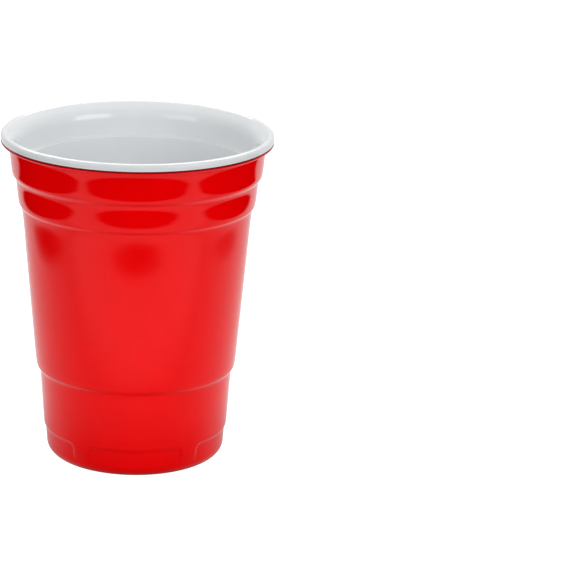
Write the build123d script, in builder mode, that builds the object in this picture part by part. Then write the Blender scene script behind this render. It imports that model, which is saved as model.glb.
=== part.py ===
from build123d import *
from math import cos, radians, tan
import os

# A tumbler pressed in one piece from melamine: a red body, with a white layer pressed over
# its inside and its lip. The two colours cure together, so the cup is a single solid.
# The origin is on the axis, at the foot. Lengths are in millimetres, and leans are degrees
# off the axis.

# Outside: a lower wall, a main wall and two narrow bands
height = 120.0
lower_wall_height = 32.9
lower_band_height = 10.9
upper_band_height = 15.6
foot_radius = 32.6
foot_round = 4.3
lower_wall_lean = 4.0
main_wall_lean = 4.8
lower_band_lean = 5.5
upper_band_lean = 5.7

# Steps between them, where the cup gets one step wider
step_width = 1.25
step_lean = 36.0
crest_round = 4.0
corner_round = 4.0

# Lip
lip_overhang = 2.77
lip_thickness = 3.7
lip_top_round = 1.3
lip_crest_width = 0.15
lip_fillet = 1.5

# Seam round the lip, where the white layer ends
white_edge_drop = 2.4
seam_width = 0.35
seam_depth = 0.25

# Inside
wall = 3.0
shelf_rise = 3.7
shelf_lean = 40.0
shelf_round = 2.2
floor_level = 4.5
floor_round = 7.0

# Underside
foot_ring_width = 3.2
foot_hollow = 1.2
foot_ring_round = 0.5

# Grip panels: shallow recesses round the foot, with a narrow rib between each two
panel_count = 5
panel_depth = 0.57
panel_top = 11.2
panel_top_lean = 26.0
panel_corner_round = 3.0
rib_angle = 10.0
front = -90.0
tool_clearance = 5.0


class Wall:
    """A straight wall of the section: its radius at level zero, and its lean off the axis."""

    def __init__(self, radius, level, lean):
        self.lean = lean
        self.slope = tan(radians(lean))
        self.base = radius - self.slope * level

    def radius(self, level):
        return self.base + self.slope * level

    def inward(self, distance):
        return Wall(self.base - distance / cos(radians(self.lean)), 0, self.lean)

    def meet(self, other):
        level = (other.base - self.base) / (self.slope - other.slope)
        return self.radius(level), level


# Outer walls from the foot to the lip, and the inner walls that follow them. The bands hang
# from the lip, so the main wall takes up what height is left.
upper_step = height - upper_band_height
step_levels = [lower_wall_height, upper_step - lower_band_height, upper_step]
outer = [Wall(foot_radius, 0, lower_wall_lean)]
for level, lean in zip(step_levels, [main_wall_lean, lower_band_lean, upper_band_lean]):
    outer.append(Wall(outer[-1].radius(level) + step_width, level, lean))
inner = [side.inward(wall) for side in outer]

# An outer step is a steep slope, eased into the wall below it and over a full crest above
outer_steps = []
outer_rounds = []
for below, above, level in zip(outer, outer[1:], step_levels):
    slope = Wall(below.radius(level) + step_width / 2, level, step_lean)
    outer_steps += [below.meet(slope), slope.meet(above)]
    outer_rounds += [corner_round, crest_round]

# An inner step is a softly rounded shelf, a little above the outer step
inner_steps = []
for below, above, level in zip(inner, inner[1:], step_levels):
    shelf_level = level + shelf_rise
    shelf_radius = (below.radius(shelf_level) + above.radius(shelf_level)) / 2
    shelf = Wall(shelf_radius, shelf_level, shelf_lean)
    inner_steps += [below.meet(shelf), shelf.meet(above)]
inner_rounds = [shelf_round] * len(inner_steps)

# Lip: a flat underside, the seam, and a top with a small round outside and a narrow crest. The
# rest of its width rolls over to the inside.
lip_underside = height - lip_thickness
lip_radius = outer[-1].radius(lip_underside) + lip_overhang
white_edge = height - white_edge_drop
seam_foot = white_edge - seam_width
seam_radius = lip_radius - seam_depth
lip_top_width = lip_radius - inner[-1].radius(height)
lip_roll_width = lip_top_width - lip_top_round - lip_crest_width
lip_roll = lip_roll_width / tan(radians(90 - upper_band_lean) / 2)
lip = [
    (outer[-1].radius(lip_underside), lip_underside),
    (lip_radius, lip_underside),
    (lip_radius, seam_foot),
    (seam_radius, seam_foot),
    (seam_radius, white_edge),
    (lip_radius, white_edge),
    (lip_radius, height),
    (inner[-1].radius(height), height),
]
lip_rounds = [lip_fillet, 0, 0, 0, 0, 0, lip_top_round, lip_roll]

# Underside: the cup stands on a ring, with a shallow hollow inside it
ring_inner = foot_radius - foot_round - foot_ring_width
underside = [
    (0, foot_hollow),
    (ring_inner - foot_hollow, foot_hollow),
    (ring_inner, 0),
    (foot_radius, 0),
]
underside_rounds = [0, foot_ring_round, foot_ring_round, foot_round]

inside_floor = [(inner[0].radius(floor_level), floor_level), (0, floor_level)]
inside_floor_rounds = [floor_round, 0]

section = underside + outer_steps + lip + inner_steps[::-1] + inside_floor
section_rounds = underside_rounds + outer_rounds + lip_rounds + inner_rounds + inside_floor_rounds

# Section of a grip panel's cutter: it sets the lower wall and its rounded foot in by the
# panel's depth, and slopes out at the top
panel_wall = outer[0].inward(panel_depth)
panel_slope = Wall(outer[0].radius(panel_top), panel_top, panel_top_lean)
cutter_top = panel_top + tool_clearance
cutter_radius = panel_slope.radius(cutter_top) + tool_clearance
panel_section = [
    (ring_inner, 0),
    (panel_wall.radius(0), 0),
    panel_wall.meet(panel_slope),
    (panel_slope.radius(cutter_top), cutter_top),
    (cutter_radius, cutter_top),
    (cutter_radius, -tool_clearance),
    (ring_inner, -tool_clearance),
]
panel_rounds = [0, foot_round, 0, 0, 0, 0, 0]
panel_angle = 360 / panel_count - rib_angle

with BuildPart() as panel_cutter:
    with BuildSketch(Plane.XZ):
        with BuildLine():
            FilletPolyline(*panel_section, radius=panel_rounds, close=True)
        make_face()
    revolve(axis=Axis.Z, revolution_arc=panel_angle)
    straight_edges = panel_cutter.edges().filter_by(GeomType.LINE)
    top_corners = straight_edges.filter_by(lambda edge: panel_top < edge.center().Z < cutter_top)
    fillet(top_corners, panel_corner_round)

with BuildPart() as cup:
    with BuildSketch(Plane.XZ):
        with BuildLine():
            FilletPolyline(*section, radius=section_rounds, close=True)
        make_face()
    revolve(axis=Axis.Z)
    with PolarLocations(0, panel_count, start_angle=front - panel_angle / 2):
        add(panel_cutter.part, mode=Mode.SUBTRACT)

cup.part.label = "cup"
os.makedirs("parts", exist_ok=True)
export_step(cup.part, "parts/cup.step")
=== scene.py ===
import bmesh
import bpy
from math import ceil, cos, pi, radians, sin, sqrt, tan
from mathutils import Matrix, Vector


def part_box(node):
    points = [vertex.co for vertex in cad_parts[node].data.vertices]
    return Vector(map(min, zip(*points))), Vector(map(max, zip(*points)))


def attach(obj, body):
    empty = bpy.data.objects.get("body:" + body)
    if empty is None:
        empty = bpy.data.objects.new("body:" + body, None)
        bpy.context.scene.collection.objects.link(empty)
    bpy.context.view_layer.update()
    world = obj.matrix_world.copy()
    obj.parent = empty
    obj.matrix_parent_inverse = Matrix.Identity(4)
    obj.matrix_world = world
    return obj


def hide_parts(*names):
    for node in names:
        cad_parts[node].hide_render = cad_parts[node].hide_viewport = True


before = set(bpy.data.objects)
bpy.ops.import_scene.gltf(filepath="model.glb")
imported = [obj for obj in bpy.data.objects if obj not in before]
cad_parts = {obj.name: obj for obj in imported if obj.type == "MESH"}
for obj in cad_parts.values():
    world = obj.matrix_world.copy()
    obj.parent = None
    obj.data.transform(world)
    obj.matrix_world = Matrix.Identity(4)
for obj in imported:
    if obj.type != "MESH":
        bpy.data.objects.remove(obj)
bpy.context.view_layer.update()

# Red body
# The outer half of the cup: red melamine powder, pressed and cured in a polished steel
# mould. It carries the foot, the grip panels, the steps and the underside of the lip.

mm = 0.001

cup_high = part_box("cup")[1]
height = cup_high.z
lip_radius = cup_high.x

# The section, from the foot up. A lean is an angle off the cup's axis.
lower_wall_height = 32.9 * mm
lower_band_height = 10.9 * mm
upper_band_height = 15.6 * mm
foot_radius = 32.6 * mm
foot_round = 4.3 * mm
foot_ring_width = 3.2 * mm
foot_ring_round = 0.5 * mm
foot_hollow = 1.2 * mm
lower_wall_lean = radians(4.0)
main_wall_lean = radians(4.8)
lower_band_lean = radians(5.5)
upper_band_lean = radians(5.7)
step_width = 1.25 * mm
step_lean = radians(36.0)
lip_thickness = 3.7 * mm
lip_edge_round = 0.6 * mm
seam_width = 0.45 * mm
seam_depth = 0.25 * mm
seam_edge_round = 0.07 * mm

# Polishing eases each corner of the mould over a long stretch of the wall and a short one of
# the step, or of the lip's underside. Under the bands the main wall is a little crowned.
foot_corner_ease = 3.0 * mm, 0.5 * mm
main_corner_ease = 11.0 * mm, 0.85 * mm
band_corner_ease = 2.8 * mm, 0.5 * mm
lower_crest_ease = 0.45 * mm, 3.8 * mm
upper_crest_ease = 0.45 * mm, 2.8 * mm
lip_ease = 4.2 * mm, 0.6 * mm
crown_level = 76.0 * mm
crown_height = 0.07 * mm
crown_ease = 6.0 * mm, 3.0 * mm

# The hidden face where the red meets the white layer
wall = 3.0 * mm
white_layer = 1.2 * mm
white_edge_drop = 2.4 * mm
crest_inset = 2.1 * mm
flare_drop = 3.4 * mm
joint_inset = 0.2 * mm
joint_drop = 0.8 * mm
floor_level = 4.5 * mm
floor_round = 7.0 * mm
shelf_rise = 3.7 * mm
shelf_lean = radians(78.0)

# Grip panels: shallow recesses round the foot, with a narrow rib between each two
panel_count = 5
panel_depth = 0.57 * mm
panel_top = 11.2 * mm
panel_top_slope = 1.5 * mm
panel_side_slope = 1.0 * mm
panel_corner_round = 3.0 * mm
panel_edge_soft = 0.4
rib_angle = radians(10.0)
rib_full_level = 8.5 * mm
rib_end_level = 3.5 * mm
front = radians(-90.0)

# Spacing of the mesh's rows and columns, and what is too small to count
arc_row = radians(7.0)
least_arc_rows = 4
ease_rows = 10
wall_row = 3.5 * mm
support_row = 0.12 * mm
panel_row = 0.3 * mm
panel_column = radians(1.7)
rib_column = radians(1.0)
corner_column = radians(0.5)
corner_margin = 0.6 * mm
tiny_turn = radians(0.01)
tiny_length = 0.01 * mm


class Wall:
    """A straight wall of the section: its radius at level zero, and its lean off the axis."""

    def __init__(self, radius, level, lean):
        self.lean = lean
        self.base = radius - tan(lean) * level

    def at(self, level):
        return Vector((self.base + tan(self.lean) * level, level))

    def inward(self, distance):
        return Wall(self.base - distance / cos(self.lean), 0, self.lean)

    def meet(self, other):
        return self.at((other.base - self.base) / (tan(self.lean) - tan(other.lean)))


upper_step = height - upper_band_height
step_levels = [lower_wall_height, upper_step - lower_band_height, upper_step]
outer = [Wall(foot_radius, 0, lower_wall_lean)]
for level, lean in zip(step_levels, [main_wall_lean, lower_band_lean, upper_band_lean]):
    outer.append(Wall(outer[-1].at(level).x + step_width, level, lean))


def steps(walls, rise, lean):
    """The two corners of each step between walls, from the foot up."""
    corners = []
    for below, above, step_level in zip(walls, walls[1:], step_levels):
        level = step_level + rise
        slope = Wall((below.at(level).x + above.at(level).x) / 2, level, lean)
        corners += [below.meet(slope), slope.meet(above)]
    return corners


def rounded(corners):
    """A closed outline through (corner, size) pairs, with its rows close together at each bend.

    A size is an arc's radius, or the two lengths before and after the corner that it is eased over.
    """
    arcs = []
    for i, (corner, size) in enumerate(corners):
        back = (corners[i - 1][0] - corner).normalized()
        ahead = (corners[(i + 1) % len(corners)][0] - corner).normalized()
        turn = pi - back.angle(ahead)
        if isinstance(size, tuple):
            start, end = corner + back * size[0], corner + ahead * size[1]
            shares = [k / ease_rows for k in range(ease_rows + 1)]
            arcs.append([start.lerp(corner, t).lerp(corner.lerp(end, t), t) for t in shares])
        elif size == 0 or turn < tiny_turn:
            arcs.append([corner])
        else:
            start = corner + back * size * tan(turn / 2)
            centre = corner + (back + ahead).normalized() * size / cos(turn / 2)
            side = 1 if back.x * ahead.y - back.y * ahead.x < 0 else -1
            count = max(least_arc_rows, ceil(turn / arc_row))
            arm = start - centre
            turns = [side * turn * k / count for k in range(count + 1)]
            arcs.append([centre + Matrix.Rotation(angle, 2) @ arm for angle in turns])
    points = []
    for arc, following in zip(arcs, arcs[1:] + arcs[:1]):
        points += arc
        run = following[0] - arc[-1]
        inner_run = run.length - 2 * support_row
        if inner_run > support_row:
            count = ceil(inner_run / wall_row)
            for k in range(count + 1):
                points.append(arc[-1] + run.normalized() * (support_row + inner_run * k / count))
    return points


def turned(name, outline, angles, set_in=None):
    """A closed mesh turned from an outline about the cup's axis. set_in moves points inwards."""
    mesh = bmesh.new()
    rings = []
    for r, z in outline:
        if r < tiny_length:
            rings.append([mesh.verts.new((0, 0, z))])
            continue
        ring = []
        for angle in angles:
            reach = r - (set_in(r, z, angle) if set_in else 0)
            ring.append(mesh.verts.new((reach * cos(angle), reach * sin(angle), z)))
        rings.append(ring)
    for lower, upper in zip(rings, rings[1:] + rings[:1]):
        for i in range(len(angles)):
            j = (i + 1) % len(angles)
            if len(lower) > 1 and len(upper) > 1:
                mesh.faces.new((lower[i], lower[j], upper[j], upper[i]))
            elif len(lower) > 1:
                mesh.faces.new((lower[i], lower[j], upper[0]))
            elif len(upper) > 1:
                mesh.faces.new((lower[0], upper[j], upper[i]))
    bmesh.ops.recalc_face_normals(mesh, faces=mesh.faces)
    for face in mesh.faces:
        face.smooth = True
    data = bpy.data.meshes.new(name)
    mesh.to_mesh(data)
    mesh.free()
    piece = bpy.data.objects.new(name, data)
    bpy.context.scene.collection.objects.link(piece)
    return piece


def ease(x):
    """0 to 1 with soft ends."""
    x = min(max(x, 0), 1)
    return x * x * (3 - 2 * x)


ring_inner = foot_radius - foot_round - foot_ring_width
ring_outer = foot_radius - foot_round * tan(pi / 4 + lower_wall_lean / 2)
panel_pitch = 2 * pi / panel_count
panel_angle = panel_pitch - rib_angle


def panel_inset(r, z, angle):
    """How far a grip panel sets the surface in here. The ribs between run out above the foot."""
    if z > panel_top or r < ring_inner:
        return 0
    off_middle = abs((angle - front + panel_pitch / 2) % panel_pitch - panel_pitch / 2)
    from_side = (panel_angle / 2 - off_middle) * (foot_radius - panel_depth)
    from_top = panel_top - z
    sideways = max(0, panel_corner_round - from_side)
    upwards = max(0, panel_corner_round - from_top)
    if sideways > 0 and upwards > 0:
        inside = panel_corner_round - sqrt(sideways ** 2 + upwards ** 2)
        towards_top = upwards ** 2 / (sideways ** 2 + upwards ** 2)
    else:
        inside = min(from_side, from_top)
        towards_top = 1 if from_top < from_side else 0
    slope = panel_side_slope + (panel_top_slope - panel_side_slope) * towards_top
    share = min(max(inside / slope, 0), 1)
    share = share * (1 - panel_edge_soft) + ease(share) * panel_edge_soft
    rib = (1 - share) * ease((z - rib_end_level) / (rib_full_level - rib_end_level))
    inset = panel_depth * (1 - rib)
    if z < tiny_length:
        inset *= min(1, max(0, (r - ring_inner) / (ring_outer - ring_inner)))
    return inset


def column_angles():
    """Angles round the cup, close together beside each rib, where the panels' edges are."""
    angles = []
    half_pitch = panel_pitch / 2
    rib_edge = rib_angle / 2
    corner_end = rib_edge + (panel_corner_round + corner_margin) / foot_radius
    spans = [
        (-half_pitch, -corner_end, panel_column),
        (-corner_end, -rib_edge, corner_column),
        (-rib_edge, rib_edge, rib_column),
        (rib_edge, corner_end, corner_column),
        (corner_end, half_pitch, panel_column),
    ]
    for k in range(panel_count):
        middle = front + 2 * pi * (k + 0.5) / panel_count
        for start, end, spacing in spans:
            count = ceil((end - start) / spacing)
            angles += [middle + start + (end - start) * i / count for i in range(count)]
    return angles


lip_underside = height - lip_thickness
white_edge = height - white_edge_drop
seam_foot = white_edge - seam_width
seam_radius = lip_radius - seam_depth
outer_corners = steps(outer, 0, step_lean)
corner_eases = [
    foot_corner_ease,
    lower_crest_ease,
    main_corner_ease,
    lower_crest_ease,
    band_corner_ease,
    upper_crest_ease,
]
bends = list(zip(outer_corners, corner_eases))
crown = outer[1].at(crown_level) + Vector((crown_height, 0))

joint = [side.inward(wall - white_layer) for side in outer]
joint_floor = floor_level - white_layer
joint_corners = [(corner, 0) for corner in steps(joint, shelf_rise, shelf_lean)]
flare_joint_top = Vector((lip_radius - crest_inset - joint_inset, white_edge))
flare_joint_foot = joint[-1].at(height - flare_drop - joint_drop)

# Close rows run across the panels' rounded corners, and half a row past the panels' top
red_outline = [
    (Vector((0, foot_hollow)), 0),
    (Vector((ring_inner - foot_hollow, foot_hollow)), foot_ring_round),
    (Vector((ring_inner, 0)), foot_ring_round),
    (Vector((foot_radius, 0)), foot_round),
]
rows_below = ceil(panel_corner_round / panel_row) + 1
for k in range(-rows_below, 1):
    red_outline.append((outer[0].at(panel_top + (k + 0.5) * panel_row), 0))
red_outline += bends[:2] + [(crown, crown_ease)] + bends[2:]
red_outline += [
    (outer[-1].at(lip_underside), lip_ease),
    (Vector((lip_radius, lip_underside)), lip_edge_round),
    (Vector((lip_radius, seam_foot)), seam_edge_round),
    (Vector((seam_radius, seam_foot)), 0),
    (Vector((seam_radius, white_edge)), 0),
    (flare_joint_top, 0),
    (flare_joint_foot, 0),
]
red_outline += joint_corners[::-1]
red_outline += [
    (joint[0].at(joint_floor), floor_round),
    (Vector((0, joint_floor)), 0),
]
red_body = turned("red_body", rounded(red_outline), column_angles(), panel_inset)
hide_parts("cup")
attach(red_body, "root")


def colour(hex_value):
    """An sRGB hex colour as the linear one that shaders take."""
    parts = [int(hex_value[i:i + 2], 16) / 255 for i in (1, 3, 5)]
    linear = [c / 12.92 if c <= 0.04045 else ((c + 0.055) / 1.055) ** 2.4 for c in parts]
    return (*linear, 1)


def new_material(name):
    """An empty material with its shader, ready for nodes."""
    material = bpy.data.materials.new(name)
    material.use_nodes = True
    return material, material.node_tree, material.node_tree.nodes["Principled BSDF"]


def add(tree, kind, settings=None, links=None):
    """A node with its settings, and with its inputs set to values or linked to other outputs."""
    node = tree.nodes.new(kind)
    for key, value in (settings or {}).items():
        setattr(node, key, value)
    for key, value in (links or {}).items():
        if isinstance(value, bpy.types.NodeSocket):
            tree.links.new(value, node.inputs[key])
        else:
            node.inputs[key].default_value = value
    return node


# Melamine formaldehyde filled with cellulose, dyed right through and cured against polished
# steel. The eye gets a deep red with a hard, clean gloss like glazed china's, a duller polish
# below the bands, mirror edges that waver a little, and a dark maroon line of painted shade in
# the seam where the colours meet.
resin_ior = 1.5
red_gloss = 0.05
red_satin = 0.1
polish_blend = 0.5 * mm
wave_spacing = 14 * mm
wave_height = 0.03 * mm
peel_spacing = 1.1 * mm
peel_height = 0.003 * mm
flow_spacing = 9 * mm
flow_detail = 4.0
rub_spacing = 5 * mm
rub_detail = 6.0
rub_least = 0.85
rub_most = 1.2
noise_low = 0.3
noise_high = 0.7
# How far below the seam's foot the painted seam shade fades in
painted_seam_shade_width = 0.3 * mm
smooth = {"interpolation_type": "SMOOTHSTEP"}
multiply = {"operation": "MULTIPLY"}
colour_mix = {"data_type": "RGBA"}


def pressed_surface(tree, shader, place):
    """The bumps of a pressed face: slow waves of shrinkage under a fine orange peel."""
    waves = add(tree, "ShaderNodeTexNoise", links={"Vector": place, "Scale": 1 / wave_spacing})
    waved = add(tree, "ShaderNodeBump", links={
        "Height": waves.outputs["Fac"],
        "Distance": wave_height,
    })
    peel = add(tree, "ShaderNodeTexNoise", links={"Vector": place, "Scale": 1 / peel_spacing})
    peeled = add(tree, "ShaderNodeBump", links={
        "Height": peel.outputs["Fac"],
        "Distance": peel_height,
        "Normal": waved.outputs["Normal"],
    })
    tree.links.new(peeled.outputs["Normal"], shader.inputs["Normal"])


red_material, tree, shader = new_material("red melamine")
place = add(tree, "ShaderNodeTexCoord").outputs["Object"]
level = add(tree, "ShaderNodeSeparateXYZ", links={"Vector": place}).outputs["Z"]
polish = add(tree, "ShaderNodeMapRange", smooth, {
    "Value": level,
    "From Min": step_levels[1] - polish_blend,
    "From Max": step_levels[1] + polish_blend,
    "To Min": red_satin,
    "To Max": red_gloss,
})
rubbed = add(tree, "ShaderNodeTexNoise", links={
    "Vector": place,
    "Scale": 1 / rub_spacing,
    "Detail": rub_detail,
})
rub = add(tree, "ShaderNodeMapRange", links={
    "Value": rubbed.outputs["Fac"],
    "From Min": noise_low,
    "From Max": noise_high,
    "To Min": rub_least,
    "To Max": rub_most,
})
roughness = add(tree, "ShaderNodeMath", multiply, {
    0: polish.outputs["Result"],
    1: rub.outputs["Result"],
})
tree.links.new(roughness.outputs["Value"], shader.inputs["Roughness"])
flow = add(tree, "ShaderNodeTexNoise", links={
    "Vector": place,
    "Scale": 1 / flow_spacing,
    "Detail": flow_detail,
})
dyed = add(tree, "ShaderNodeMix", colour_mix, {
    "Factor": flow.outputs["Fac"],
    "A": colour("#ea0103"),
    "B": colour("#f60104"),
})
# Painted shade: the red turns dark maroon in the seam's groove under the white edge, fading in just
# below the seam's foot.
painted_seam_shade = add(tree, "ShaderNodeMapRange", smooth, {
    "Value": level,
    "From Min": seam_foot - painted_seam_shade_width,
    "From Max": seam_foot,
})
red = add(tree, "ShaderNodeMix", colour_mix, {
    "Factor": painted_seam_shade.outputs["Result"],
    "A": dyed.outputs["Result"],
    "B": colour("#8a000e"),
})
tree.links.new(red.outputs["Result"], shader.inputs["Base Color"])
shader.inputs["Specular Tint"].default_value = colour("#ff8282")
shader.inputs["IOR"].default_value = resin_ior
pressed_surface(tree, shader, place)
red_body.data.materials.append(red_material)

# White lining
# The second shot: white melamine pressed over the red while both are soft, so that they
# cure as one. It covers the inside and rolls over the lip, down to a fine seam.

lip_top_round = 1.3 * mm
lip_crest_ease = 0.4 * mm, 1.1 * mm
flare_ease = 2.8 * mm, 2.8 * mm
shelf_round = 0.35 * mm
lining_columns = 320

inner = [side.inward(wall) for side in outer]
inner_corners = steps(inner, shelf_rise, shelf_lean)
white_outline = [
    (Vector((seam_radius, white_edge)), 0),
    (Vector((lip_radius, white_edge)), seam_edge_round),
    (Vector((lip_radius, height)), lip_top_round),
    (Vector((lip_radius - crest_inset, height)), lip_crest_ease),
    (inner[-1].at(height - flare_drop), flare_ease),
]
white_outline += [(corner, shelf_round) for corner in inner_corners[::-1]]
white_outline += [
    (inner[0].at(floor_level), floor_round),
    (Vector((0, floor_level)), 0),
    (Vector((0, joint_floor)), 0),
    (joint[0].at(joint_floor), floor_round),
]
white_outline += joint_corners
white_outline += [(flare_joint_foot, 0), (flare_joint_top, 0)]
even_angles = [2 * pi * k / lining_columns for k in range(lining_columns)]
white_lining = turned("white_lining", rounded(white_outline), even_angles)
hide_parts("cup")
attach(white_lining, "root")

# The same resin with a white pigment. It is a cool, opaque white with a glazed look: faint
# clouds where the charge flowed, and a gloss that stirring and washing have dulled in patches.
cloud_spacing = 12 * mm
white_gloss = 0.05
white_dulled = 0.08

white_material, tree, shader = new_material("white melamine")
place = add(tree, "ShaderNodeTexCoord").outputs["Object"]
charge = add(tree, "ShaderNodeTexNoise", links={
    "Vector": place,
    "Scale": 1 / cloud_spacing,
    "Detail": flow_detail,
})
clouds = add(tree, "ShaderNodeMix", colour_mix, {
    "Factor": charge.outputs["Fac"],
    "A": colour("#e0e3e5"),
    "B": colour("#e4e6e7"),
})
tree.links.new(clouds.outputs["Result"], shader.inputs["Base Color"])
worn = add(tree, "ShaderNodeTexNoise", links={
    "Vector": place,
    "Scale": 1 / rub_spacing,
    "Detail": rub_detail,
})
dulled = add(tree, "ShaderNodeMapRange", links={
    "Value": worn.outputs["Fac"],
    "From Min": noise_low,
    "From Max": noise_high,
    "To Min": white_gloss,
    "To Max": white_dulled,
})
tree.links.new(dulled.outputs["Result"], shader.inputs["Roughness"])
shader.inputs["IOR"].default_value = resin_ior
pressed_surface(tree, shader, place)
white_lining.data.materials.append(white_material)

# Studio
# A pale table in a dim white room. Two softboxes stand in front, with a small bright lamp
# between them. A broad lamp behind lights the crest of the lip, and a weak one hangs above.

room_light = 0.6
table_size = 8.0
table_roughness = 0.8
table_glow = 1

scene = bpy.context.scene
scene.view_settings.view_transform = "Standard"

world = bpy.data.worlds.new("studio")
scene.world = world
world.use_nodes = True
sky = world.node_tree.nodes["Background"]
sky.inputs["Color"].default_value = colour("#ffffff")
sky.inputs["Strength"].default_value = room_light


def level_sheet(name, size, rise, material):
    """A square sheet that lies level, this far above the floor."""
    corners = [(x * size / 2, y * size / 2, 0) for x, y in ((-1, -1), (1, -1), (1, 1), (-1, 1))]
    data = bpy.data.meshes.new(name)
    data.from_pydata(corners, [], [(0, 1, 2, 3)])
    data.materials.append(material)
    piece = bpy.data.objects.new(name, data)
    piece.location = (0, 0, rise)
    scene.collection.objects.link(piece)
    return piece


table_material, tree, shader = new_material("white table")
shader.inputs["Base Color"].default_value = colour("#bcbcbc")
shader.inputs["Roughness"].default_value = table_roughness
shader.inputs["Specular IOR Level"].default_value = 0
shader.inputs["Emission Color"].default_value = colour("#ffffff")
shader.inputs["Emission Strength"].default_value = table_glow
table = level_sheet("table", table_size, 0, table_material)
table.visible_diffuse = False
table.visible_glossy = False


def glow_material(name):
    """A material that only shines, with the place on its sheet and the input for its strength."""
    material, tree, shader = new_material(name)
    tree.nodes.remove(shader)
    shine = add(tree, "ShaderNodeEmission")
    tree.links.new(shine.outputs["Emission"], tree.nodes["Material Output"].inputs["Surface"])
    place = add(tree, "ShaderNodeTexCoord").outputs["Object"]
    return material, tree, place, shine.inputs["Strength"]


# A glowing white sheet on the table lights the cup, and the gloss mirrors it, though the camera
# sees past it. Its glow is painted light for the lit table: brighter towards the front, dimmed
# near the foot by a painted shadow of the cup, and dark in front and beside.
sheet_rise = 0.1 * mm
# The painted shadow of the cup fades out between these distances from its axis.
foot_dim_radius = 30 * mm
foot_lit_radius = 85 * mm
sheet_material, tree, place, glow = glow_material("lit sheet")
distance = add(tree, "ShaderNodeVectorMath", {"operation": "LENGTH"}, {0: place}).outputs["Value"]
sides = add(tree, "ShaderNodeSeparateXYZ", links={"Vector": place})
x, y = sides.outputs["X"], sides.outputs["Y"]

# What each soft edge is measured along, where it starts and ends in millimetres, and how
# bright it is before and after. Past the back one, the sheet is lit from side to side.
soft_edges = {
    "left": (x, -228, -208, 0, 1),
    "right": (x, 217, 237, 1, 0),
    "front": (y, -208, -188, 0, 1),
    "back": (y, 205, 245, 0, 1),
    "towards_front": (y, -130, -75, 1.8, 0.95),
    # How dark the painted shadow of the cup gets by the foot: darkest in front of it
    "painted_shadow_before_foot": (y, -38, -12, 0.1, 0.55),
}
edges = {}
for name, (along, start, end, before, after) in soft_edges.items():
    edge = add(tree, "ShaderNodeMapRange", smooth, {
        "Value": along,
        "From Min": start * mm,
        "From Max": end * mm,
        "To Min": before,
        "To Max": after,
    })
    edges[name] = edge.outputs["Result"]
# Painted shadow of the cup on the table: the sheet's glow dims towards the foot.
painted_foot_shadow = add(tree, "ShaderNodeMapRange", smooth, {
    "Value": distance,
    "From Min": foot_dim_radius,
    "From Max": foot_lit_radius,
    "To Min": edges["painted_shadow_before_foot"],
    "To Max": 1,
})
between = add(tree, "ShaderNodeMath", multiply, {0: edges["left"], 1: edges["right"]})
strength = add(tree, "ShaderNodeMath", {"operation": "MAXIMUM"}, {
    0: between.outputs["Value"],
    1: edges["back"],
})
for share in (edges["front"], edges["towards_front"], painted_foot_shadow.outputs["Result"]):
    strength = add(tree, "ShaderNodeMath", multiply, {0: strength.outputs["Value"], 1: share})
tree.links.new(strength.outputs["Value"], glow)
sheet = level_sheet("sheet", table_size, sheet_rise, sheet_material)
sheet.visible_camera = False

# A dim glowing card covers the middle of the sheet, darkest where the cup stands, as a painted
# contact shadow under the foot. It lights the cup's own colour alone, because neither the gloss
# nor the camera sees it.
card_size = 0.16
card_rise = 0.2 * mm
contact_radius = 31 * mm
contact_end = 38 * mm
contact_glow = 0.3
card_glow = 0.6
card_material, tree, place, glow = glow_material("foot card")
distance = add(tree, "ShaderNodeVectorMath", {"operation": "LENGTH"}, {0: place}).outputs["Value"]
# Painted contact shadow: the card's glow drops where the foot stands.
painted_contact_shadow = add(tree, "ShaderNodeMapRange", smooth, {
    "Value": distance,
    "From Min": contact_radius,
    "From Max": contact_end,
    "To Min": contact_glow,
    "To Max": card_glow,
})
tree.links.new(painted_contact_shadow.outputs["Result"], glow)
foot_card = level_sheet("foot_card", card_size, card_rise, card_material)
foot_card.visible_camera = False
foot_card.visible_glossy = False

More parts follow.
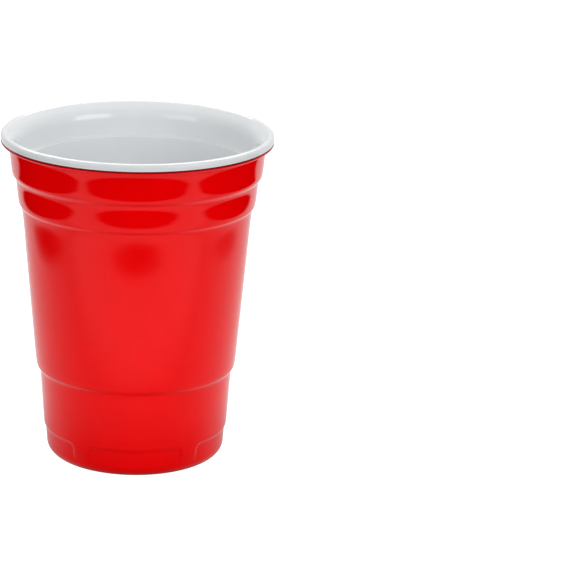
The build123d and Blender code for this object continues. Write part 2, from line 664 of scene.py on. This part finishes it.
# Each lamp's azimuth from the front and its elevation in degrees, its width and depth in
# metres, and its radiance. All of them point at the middle of the lip.
lamp_distance = 1.3
lamps = {
    "left": (-44, 21, 0.80, 0.60, 1.6),
    "right": (47, 21, 0.80, 0.60, 3.1),
    "front": (3, 24, 0.10, 0.10, 6.0),
    "back": (180, 45, 1.2, 0.5, 5.8),
    "top": (0, 90, 1.3, 1.3, 0.3),
}
for name, (azimuth, elevation, width, depth, radiance) in lamps.items():
    lamp_data = bpy.data.lights.new(f"lamp_{name}", "AREA")
    lamp_data.shape = "RECTANGLE"
    lamp_data.size = width
    lamp_data.size_y = depth
    lamp_data.energy = radiance * pi * width * depth
    lamp = bpy.data.objects.new(f"lamp_{name}", lamp_data)
    angle = front + radians(azimuth)
    flat = lamp_distance * cos(radians(elevation))
    rise = lamp_distance * sin(radians(elevation))
    lamp.location = (flat * cos(angle), flat * sin(angle), height + rise)
    aim = Vector((0, 0, height)) - lamp.location
    lamp.rotation_euler = aim.to_track_quat("-Z", "Y").to_euler()
    scene.collection.objects.link(lamp)

# Camera
# It stands a metre away and looks down on the cup through a long lens. It is turned a little
# to the right, so that the cup sits left of the middle of the picture.

camera_distance = 1013.5 * mm
camera_elevation = radians(17.169)
aim_height = 59.5 * mm
camera_pan = radians(-3.1076)
camera_tilt = radians(0.1347)
camera_roll = radians(-0.5394)
sensor_width_in_mm = 36
focal_length_in_mm = 174.4

camera_data = bpy.data.cameras.new("camera")
camera_data.sensor_width = sensor_width_in_mm
camera_data.lens = focal_length_in_mm
camera = bpy.data.objects.new("camera", camera_data)
run = camera_distance * cos(camera_elevation)
rise = camera_distance * sin(camera_elevation)
place = Vector((0, -run, aim_height + rise))
ahead = Vector((0, cos(camera_elevation), -sin(camera_elevation)))
right = Vector((1, 0, 0))
up = right.cross(ahead)
turn = Matrix.Rotation(camera_pan, 3, up)
ahead, right = turn @ ahead, turn @ right
turn = Matrix.Rotation(camera_tilt, 3, right)
ahead, up = turn @ ahead, turn @ up
turn = Matrix.Rotation(camera_roll, 3, ahead)
right, up = turn @ right, turn @ up
camera.matrix_world = Matrix.Translation(place) @ Matrix((right, up, -ahead)).transposed().to_4x4()
scene.collection.objects.link(camera)
scene.camera = camera
